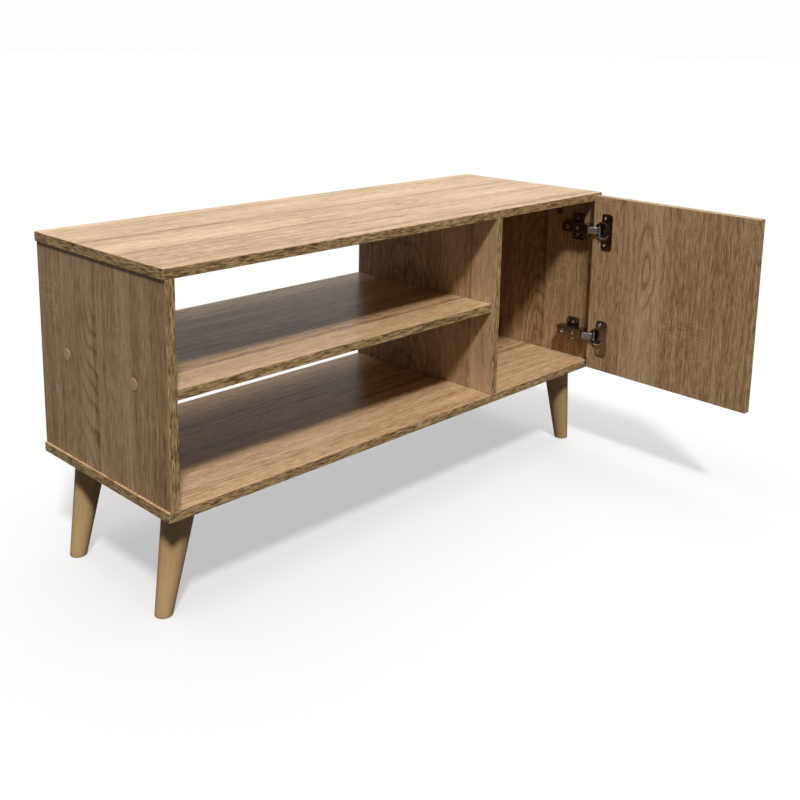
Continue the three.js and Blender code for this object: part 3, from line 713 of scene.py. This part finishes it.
def leg_material(settings, name, top, outwards):
    """Lacquered beech: faint long bands along the leg and short darker flecks."""
    material, tree, shader = new_material(name)
    axis = (outwards * math.sin(LEG_TILT), 0.0, -math.cos(LEG_TILT))
    position = local_position(tree, top, [axis, (0.0, 1.0, 0.0), np.cross(axis, (0, 1, 0))])
    bands = noise(tree, position, (5.0, 95.0, 95.0), 3.0)
    fleck = remap(tree, noise(tree, position, (110.0, 900.0, 900.0), 1.0), 0.60, 0.74, 0.0, 0.55)
    amount = total(tree, remap(tree, bands, 0.35, 0.70, 0.0, 0.40), fleck)
    finish(tree, shader, blend(tree, amount, opaque(settings.wood), opaque(settings.fleck)),
           total(tree, settings.gloss, about_half(tree, bands, 0.12)), bands, 0.0002, 0.15)
    return material


def cap_material(settings):
    """Moulded cap, printed with faint grain, rougher than the board."""
    material, tree, shader = new_material("cap_plastic")
    grain = noise(tree, object_position(tree), (420.0, 420.0, 45.0), 3.0)
    shade = blend(tree, remap(tree, grain, 0.32, 0.70), opaque(settings.cap, 0.80), opaque(settings.cap))
    finish(tree, shader, shade, total(tree, 0.46, about_half(tree, grain, 0.2)), grain, 0.0001, 0.2)
    return material


def wear(node, material):
    """Gives a frame node a new material."""
    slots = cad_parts[node].material_slots
    if not slots:
        raise RuntimeError(f"{node} has no material slot")
    for slot in slots:
        slot.material = material


# ---- operators ----

class STAND_OT_finish_boards(bpy.types.Operator):
    """Give every board its printed oak, edge band and painted highlights along its arrises"""
    bl_idname = "stand.finish_boards"
    bl_label = "Finish boards"

    def execute(self, context):
        for node, board in BOARDS.items():
            wear(node, board_material(node, board))
        return {"FINISHED"}


class STAND_OT_turn_legs(bpy.types.Operator):
    """Turn the four tapered legs and finish their plates and bolts"""
    bl_idname = "stand.turn_legs"
    bl_label = "Turn legs"

    def execute(self, context):
        settings, fittings = context.scene.stand_legs, context.scene.stand_fittings
        coat = metal_material("plate_steel", fittings.coat, 0.42, 0.5, metallic=0.0)
        zinc = metal_material("zinc_fitting", fittings.zinc, 0.38, 1.0)
        screw = screw_head(0.0042, 0.0022, 0.0009, 0.0046, 0.0012, 0.0011)
        spacing, plate_thickness = 0.0305, 0.0025
        for leg in LEGS:
            low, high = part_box(f"{leg}_leg_plate")
            top = np.array([(low.x + high.x) / 2, (low.y + high.y) / 2, high.z])
            outwards = -1.0 if top[0] < 0 else 1.0
            material = leg_material(settings, f"leg_wood_{leg}", top, outwards)
            make_piece(f"{leg}_turned_leg", [leg_surface(top, outwards, settings)], material,
                       "carcass", [f"{leg}_leg"])
            wear(f"{leg}_leg_plate", coat)
            wear(f"{leg}_leg_bolt", zinc)
            shells = [placed(screw, top + (spacing * dx, spacing * dy, -plate_thickness),
                             (1, dx * 0.6, 0), (0, 0, -1)) for dx in (-1, 1) for dy in (-1, 1)]
            make_piece(f"{leg}_plate_screws", shells, zinc, "carcass")
        return {"FINISHED"}


class STAND_OT_fit_fastenings(bpy.types.Operator):
    """Fit the cams, cover caps, screws under the bottom board and nails of the back panel"""
    bl_idname = "stand.fit_fastenings"
    bl_label = "Fit fastenings"

    def execute(self, context):
        fittings = context.scene.stand_fittings
        zinc = bpy.data.materials["zinc_fitting"]
        # The cams get a darker zinc: painted shade.
        self.cams(metal_material("cam_zinc_with_painted_shade", fittings.cast, 0.50, 1.0))
        self.caps(cap_material(fittings))
        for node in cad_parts:
            if node.startswith("shelf_") and node.endswith("_screw"):
                wear(node, zinc)
        self.screws_below(zinc)
        self.nails_behind(zinc)
        return {"FINISHED"}

    def cams(self, cast):
        """A round cam in its hole, with a cross recess. It faces into the bay beside its board, and its
        darker zinc is painted shade.
        """
        rise = 0.0020
        head = screw_head(0.0075, rise, 0.0002, 0.0078, 0.0021, 0.0014)
        barrel = lathe([(0.0074, -0.0100), (0.0074, 0.0)], 56)
        for node in (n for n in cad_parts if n.endswith("_cam")):
            low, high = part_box(node)
            out = -1.0 if node.startswith("right") else 1.0
            at = ((high.x if out > 0 else low.x) - out * rise, *middle_of(node)[1:])
            shells = [placed(shell, at, (0, 1, 0.7), (out, 0, 0)) for shell in (head, barrel)]
            make_piece(f"{node}_head", shells, cast, "carcass", [node])

    def caps(self, plastic):
        """A cover cap with an eased rim: a quarter circle, 0.7 of the cap's thickness in radius."""
        for node in (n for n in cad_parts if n.endswith("_cap")):
            low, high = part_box(node)
            out = -1.0 if "left" in node else 1.0
            at = (low.x if out > 0 else high.x, *middle_of(node)[1:])
            thick, radius = high.x - low.x, (high.z - low.z) / 2
            disc = lathe(np.concatenate([
                [(0.5 * radius, 0.0), (radius, 0.0), (radius, 0.30 * thick)],
                arc((radius - 0.7 * thick, 0.3 * thick), 0.7 * thick, 15, 90, 5),
                [(0.7 * radius, thick), (0.3 * radius, thick)]]), 64)
            make_piece(f"{node}_disc", [placed(disc, at, (0, 1, 0), (out, 0, 0))],
                       plastic, "carcass", [node])

    def screws_below(self, zinc):
        """Flat heads under the bottom board, below each upright, a little way in from its cams."""
        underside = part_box("bottom_panel")[0].z
        from_cam = 0.045
        rows = [middle_of("left_front_cam")[1] + from_cam, middle_of("left_rear_cam")[1] - from_cam]
        head = screw_head(0.0050, 0.0007, 0.0002, 0.0050, 0.0014, 0.0005)
        for upright in ("left_side_panel", "divider_panel", "right_side_panel"):
            x = middle_of(upright)[0]
            shells = [placed(head, (x, y, underside), (1, 0.5, 0), (0, 0, -1)) for y in rows]
            make_piece(f"{upright}_bottom_screws", shells, zinc, "carcass")

    def nails_behind(self, zinc):
        """Small domed nails round the back panel."""
        low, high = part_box("back_panel")
        inset = 0.006
        left, right, foot, head = low.x + inset, high.x - inset, low.z + inset, high.z - inset
        places = [(x, z) for x in np.linspace(left, right, 5) for z in (foot, head)]
        places += [(x, z) for z in np.linspace(foot, head, 6)[1:-1] for x in (left, right)]
        nail = lathe([(0.0014, 0.0), (0.0016, 0.0001), (0.0014, 0.0003), (0.0008, 0.0005)], 20)
        shells = [placed(nail, (x, high.y, z), (1, 0, 0), (0, 1, 0)) for x, z in places]
        make_piece("back_panel_nails", shells, zinc, "carcass")


class STAND_OT_build_hinges(bpy.types.Operator):
    """Build the cups, links, pins and screws of both concealed hinges"""
    bl_idname = "stand.build_hinges"
    bl_label = "Build hinges"

    def execute(self, context):
        fittings = context.scene.stand_fittings
        nickel = metal_material("dark_nickel", fittings.nickel, 0.26, 0.6)
        steel = metal_material("bright_steel", fittings.steel, 0.30, 0.8)
        # A brighter and rougher copy of the bright steel, for the painted highlight strip in each cup.
        painted_highlight_metal = metal_material("painted_highlight_steel", [1.25 * c for c in fittings.steel], 0.42, 0.6)
        for hinge in HINGES:
            wear(f"{hinge}_hinge_arm", nickel)
            self.plate(hinge, nickel, steel)
            self.cup(hinge, nickel, painted_highlight_metal)
            self.link(hinge, steel)
            self.pins(hinge, steel)
            self.screws(hinge, steel)
        return {"FINISHED"}

    def plate(self, hinge, nickel, steel):
        """A pressed plate with two wide wings and a rib that carries the arm. Its outline is a
        wing rectangle and a strip rectangle taken together. Each wing has two eyelets."""
        low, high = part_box(f"{hinge}_hinge_plate")
        wing_y = middle_of(f"{hinge}_hinge_plate_top_screw")[1]
        height = (low.z + high.z) / 2
        half_wing, half_strip, thick, ease = 0.0135, 0.0080, 0.0020, 0.0004
        rib_front, rib_rear, rib_half_height, adjuster_y = 0.013, 0.059, 0.0065, 0.0250
        direction = directions(240)
        edge = outline_radius(direction, [
            (np.zeros(2), np.array([half_wing, (high.z - low.z) / 2])),
            (np.array([(low.y + high.y) / 2 - wing_y, 0]),
             np.array([(high.y - low.y) / 2, half_strip]))], 0.0035)
        plate = stacked(direction, [(0.4 * edge, 0.0), (edge, 0.0), (edge, thick - ease),
                                    (edge - ease, thick), (0.85 * edge, thick), (0.4 * edge, thick)])
        eyelet = lathe([(0.0027, 0.0), (0.0027, 0.0004), (0.0023, 0.0007), (0.0016, 0.0006),
                        (0.0013, 0.0001)], 32)
        shells = [placed(plate, (high.x, wing_y, height), (0, 1, 0), (-1, 0, 0))]
        shells += [placed(eyelet, (high.x - thick, wing_y + dy, height + dz), (0, 1, 0), (-1, 0, 0))
                   for dy in (-0.0088, 0.0088) for dz in (-0.0185, 0.0185)]
        rib_right = high.x - 0.0010
        path = np.stack([np.full(12, (low.x + rib_right) / 2), np.linspace(rib_front, rib_rear, 12)], -1)
        shells.append(swept_bar(path, (rib_right - low.x) / 2, rib_half_height, height, 0.0009))
        make_piece(f"{hinge}_winged_plate", shells, nickel, "carcass",
                   [f"{hinge}_hinge_plate"])
        screw = screw_head(0.0034, 0.0014, 0.0004, 0.0040, 0.0011, 0.0009)
        at = (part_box(f"{hinge}_hinge_arm")[0].x, adjuster_y, height)
        make_piece(f"{hinge}_adjuster_screw", [placed(screw, at, (0, 1, 0.6), (-1, 0, 0))],
                   steel, "carcass")

    def cup(self, hinge, nickel, painted_highlight_metal):
        """The cup, and in it a painted highlight: a bright steel strip on an arc along the lower part of the
        cup, inside its mouth.
        """
        node = f"{hinge}_hinge_cup"
        axes = np.array([DOOR_ALONG, DOOR_INWARD, (0, 0, 1)])
        low, high = span_along(node, axes)
        middle = np.array([high[0] - CUP_RADIUS, high[1] - CUP_SHEET, (low[2] + high[2]) / 2])
        shell = cup_surface(middle @ axes, middle[1] - low[1], middle[0] - low[0], (high[2] - low[2]) / 2)
        make_piece(f"{hinge}_pressed_cup", [shell], nickel, "door", [node])
        # The painted highlight: a bright strip on an arc along the lower part of the cup.
        steps, strip_radius = 40, 0.0147
        turn = np.radians(np.linspace(70, 146, steps))
        taper = 0.0012 * np.sin(np.linspace(0.3, math.pi - 0.3, steps)) ** 0.5
        strip = swept_bar(strip_radius * np.stack([np.cos(turn), np.sin(turn)], -1), taper, 0.0016,
                          0.0012, 0.0003)
        make_piece(f"{hinge}_painted_highlight_strip", [placed(strip, middle @ axes, DOOR_ALONG, DOOR_INWARD)],
                   painted_highlight_metal, "door")

    def link(self, hinge, steel):
        """The link, a bar bent round the side panel's edge, with a solid round boss at each pin.
        It has no holes: its pins run through the bosses."""
        start, end = middle_of(f"{hinge}_hinge_arm_pin"), middle_of(f"{hinge}_hinge_cup_pin")
        reach = np.linalg.norm(end[:2] - start[:2])
        along = (end[:2] - start[:2]) / reach
        left = np.array([-along[1], along[0]])
        corners = np.array([(0, 0), *LINK_BENDS, (reach, 0)])
        path = rounded_path(start[:2] + corners[:, :1] * along + corners[:, 1:] * left)
        boss_points, boss_faces = lathe([(0.0026, -0.0064), (0.0030, -0.0060), (0.0030, 0.0060),
                                         (0.0026, 0.0064)], 32)
        shells = [swept_bar(path, 0.0016, 0.0063, start[2])]
        shells += [(boss_points + at, boss_faces) for at in (start, end)]
        make_piece(f"{hinge}_gooseneck_link", shells, steel, "hinge_links",
                   [f"{hinge}_hinge_link"])

    def pins(self, hinge, steel):
        """Round pins with eased ends, through the arm and through the cup."""
        radius, ease = 0.0015, 0.0004
        for kind, body in (("arm", "carcass"), ("cup", "door")):
            node = f"{hinge}_hinge_{kind}_pin"
            low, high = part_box(node)
            half = (high.z - low.z) / 2
            points, faces = lathe([(0.7 * radius, -half), (radius, ease - half), (radius, half - ease),
                                   (0.7 * radius, half)], 32)
            make_piece(f"{node}_round", [(points + middle_of(node), faces)], steel, body,
                       [node])

    def screws(self, hinge, steel):
        """Heads with a cross recess in place of the coarse ones of the frame. The cup's screws
        stand proud of them, on top of the flange."""
        on_plate = ("carcass", (-1, 0, 0), 0.0033, 0.0022, 0.0007, 0.0)
        on_arm = ("carcass", (-1, 0, 0), 0.0045, 0.0024, 0.0006, 0.0)
        on_cup = ("door", DOOR_INWARD, 0.0035, 0.0015, 0.0005, 0.0009)
        for kind, (body, out, radius, rise, crown, proud) in {
                "plate_bottom": on_plate, "plate_top": on_plate, "arm": on_arm,
                "cup_bottom": on_cup, "cup_top": on_cup}.items():
            node = f"{hinge}_hinge_{kind}_screw"
            side = np.cross((0, 0, 1), out)
            axes = np.array([out, side, (0, 0, 1)], float)
            low, high = span_along(node, axes)
            seat = np.array([high[0] - rise + proud, (low[1] + high[1]) / 2, (low[2] + high[2]) / 2]) @ axes
            head = screw_head(radius, rise, crown, 1.2 * radius, 0.3 * radius, 0.45 * rise)
            make_piece(f"{node}_head", [placed(head, seat, side + (0, 0, 0.8), out)], steel, body,
                       [node])


class STAND_OT_set_stage(bpy.types.Operator):
    """Lay the pale floor, set the lights and place the camera"""
    bl_idname = "stand.set_stage"
    bl_label = "Set stage"

    def execute(self, context):
        scene, settings = context.scene, context.scene.stand_stage
        self.floor(scene, settings)
        self.lights(scene, settings)
        self.camera(scene, settings)
        scene.view_settings.view_transform = "Standard"
        return {"FINISHED"}

    def floor(self, scene, settings):
        """A level disc. Light that bounces off it is dimmed, so that the shade stays deep."""
        hub, thick, gap = 0.2, 0.02, 0.0002
        points, faces = lathe([(hub, -thick), (settings.floor_radius, -thick),
                               (settings.floor_radius, -gap), (hub, -gap)], 64)
        mesh = bpy.data.meshes.new("floor")
        mesh.from_pydata(points.tolist(), [], faces)
        floor = bpy.data.objects.new("floor", mesh)
        scene.collection.objects.link(floor)
        material, tree, shader = new_material("pale_floor")
        cloud = noise(tree, object_position(tree), (1.5, 1.5, 1.5), 3.0)
        pale = blend(tree, cloud, opaque(settings.floor, 0.985), opaque(settings.floor))
        seen = put(tree, "LightPath").outputs["Is Camera Ray"]
        feed(tree, shader.inputs["Base Color"], blend(tree, seen, opaque(settings.bounce), pale))
        feed(tree, shader.inputs["Emission Color"], blend(tree, seen, opaque((0.0,) * 3), opaque((0.5,) * 3)))
        feed(tree, shader.inputs["Roughness"], remap(tree, cloud, 0.0, 1.0, 0.80, 0.92))
        shader.inputs["Emission Strength"].default_value = 1.0
        shader.inputs["Specular IOR Level"].default_value = 0.1
        mesh.materials.append(material)

    def lights(self, scene, settings):
        """A soft key from the front left and above, light from overhead, and a bright far wall
        whose light fades with height. The camera itself sees plain white."""
        lamp = bpy.data.lights.new("key", "SUN")
        lamp.energy = settings.sun
        lamp.angle = settings.sun_spread
        lamp.color = (1.0, 0.985, 0.96)
        key = bpy.data.objects.new("key", lamp)
        key.matrix_world = Matrix(local_axes((1, 0, 0), KEY_SIDE).T.tolist()).to_4x4()
        scene.collection.objects.link(key)

        world = bpy.data.worlds.new("studio")
        scene.world = world
        world.use_nodes = True
        tree = world.node_tree
        shader = tree.nodes["Background"]
        x, y, z = split(tree, put(tree, "TexCoord").outputs["Generated"])
        overhead = product(tree, remap(tree, z, 0.80, 0.92), settings.sky)
        away = total(tree, product(tree, x, WALL_SIDE[0]), product(tree, y, WALL_SIDE[1]))
        wall = product(tree, remap(tree, away, 0.0, 0.6, 0.05, 1.0), settings.wall,
                       remap(tree, z, 0.18, 0.33, 1.0, 0.08))
        glow = calc(tree, "MAXIMUM", overhead, wall)
        seen = put(tree, "LightPath").outputs["Is Camera Ray"]
        feed(tree, shader.inputs["Color"], blend(tree, seen, (1.0, 0.985, 0.965, 1.0), opaque((1.0,) * 3)))
        feed(tree, shader.inputs["Strength"], calc(
            tree, "MAXIMUM", product(tree, seen, 0.985),
            product(tree, calc(tree, "SUBTRACT", 1.0, seen), glow)))

    def camera(self, scene, settings):
        """A camera that looks ahead along its yaw and pitch and is then rolled."""
        lens = bpy.data.cameras.new("camera")
        lens.lens = settings.lens
        lens.sensor_width = 36.0
        lens.shift_x, lens.shift_y = CAMERA_SHIFT
        camera = bpy.data.objects.new("camera", lens)
        yaw, pitch, roll = (math.radians(angle) for angle in CAMERA_TURN)
        ahead = np.array([-math.sin(yaw) * math.cos(pitch), math.cos(yaw) * math.cos(pitch), math.sin(pitch)])
        right = np.array([math.cos(yaw), math.sin(yaw), 0.0])
        up = np.cross(right, ahead)
        across = math.cos(roll) * right + math.sin(roll) * up
        upwards = math.cos(roll) * up - math.sin(roll) * right
        matrix = Matrix(np.stack([across, upwards, -ahead], 1).tolist()).to_4x4()
        matrix.translation = CAMERA_PLACE
        camera.matrix_world = matrix
        scene.collection.objects.link(camera)
        scene.camera = camera


class STAND_PT_panel(bpy.types.Panel):
    """Lists the steps and the settings of the stand"""
    bl_idname = "STAND_PT_panel"
    bl_label = "Television stand"
    bl_space_type = "VIEW_3D"
    bl_region_type = "UI"
    bl_category = "Stand"

    def draw(self, context):
        for step in STEPS:
            self.layout.operator(step.bl_idname)
        for name in SETTINGS:
            box = self.layout.box()
            group = getattr(context.scene, name)
            for key in group.bl_rna.properties.keys():
                if key not in ("rna_type", "name"):
                    box.prop(group, key)


STEPS = (STAND_OT_finish_boards, STAND_OT_turn_legs, STAND_OT_fit_fastenings, STAND_OT_build_hinges,
         STAND_OT_set_stage)
SETTINGS = {"stand_boards": BoardSettings, "stand_legs": LegSettings,
            "stand_fittings": FittingSettings, "stand_stage": StageSettings}
CLASSES = (*SETTINGS.values(), *STEPS, STAND_PT_panel)


def register():
    for item in CLASSES:
        bpy.utils.register_class(item)
    for name, kind in SETTINGS.items():
        setattr(bpy.types.Scene, name, PointerProperty(type=kind))


def unregister():
    for name in SETTINGS:
        delattr(bpy.types.Scene, name)
    for item in reversed(CLASSES):
        bpy.utils.unregister_class(item)


def main():
    register()
    for step in STEPS:
        group, name = step.bl_idname.split(".")
        getattr(getattr(bpy.ops, group), name)()


if __name__ == "__main__":
    main()
